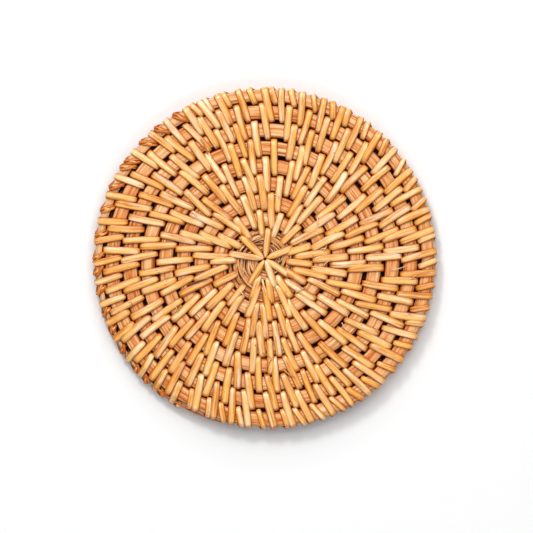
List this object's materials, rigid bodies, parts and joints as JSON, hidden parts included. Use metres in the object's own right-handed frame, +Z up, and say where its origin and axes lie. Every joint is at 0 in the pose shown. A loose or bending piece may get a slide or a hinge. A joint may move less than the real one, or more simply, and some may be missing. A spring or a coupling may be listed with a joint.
{
  "type": "rattan trivet",
  "caption": "Round flat trivet of coiled rattan core bound turn to turn with stitches of cane; it lies on a table under a hot dish or pot.",
  "frame": {"origin": "centre of the underside, on the surface that the trivet lies on", "axes": "+Z up through the thickness; the coil grows counter-clockwise seen from above and thins out at its rim near -X"},
  "size_m": [0.1299, 0.1293, 0.0077],
  "materials": {
    "core": "bare rattan core with fine lengthwise fibres, dull",
    "cane": "natural glossy rattan skin, pale golden"
  },
  "bodies": {
    "root": {"core_coil": "core", "cane_round_1": "cane", "cane_round_2": "cane", "cane_round_3": "cane", "cane_round_4": "cane", "cane_round_5": "cane", "cane_round_6": "cane", "cane_round_7": "cane", "cane_round_8": "cane", "cane_round_9": "cane", "cane_round_10": "cane"}
  },
  "joints": []
}
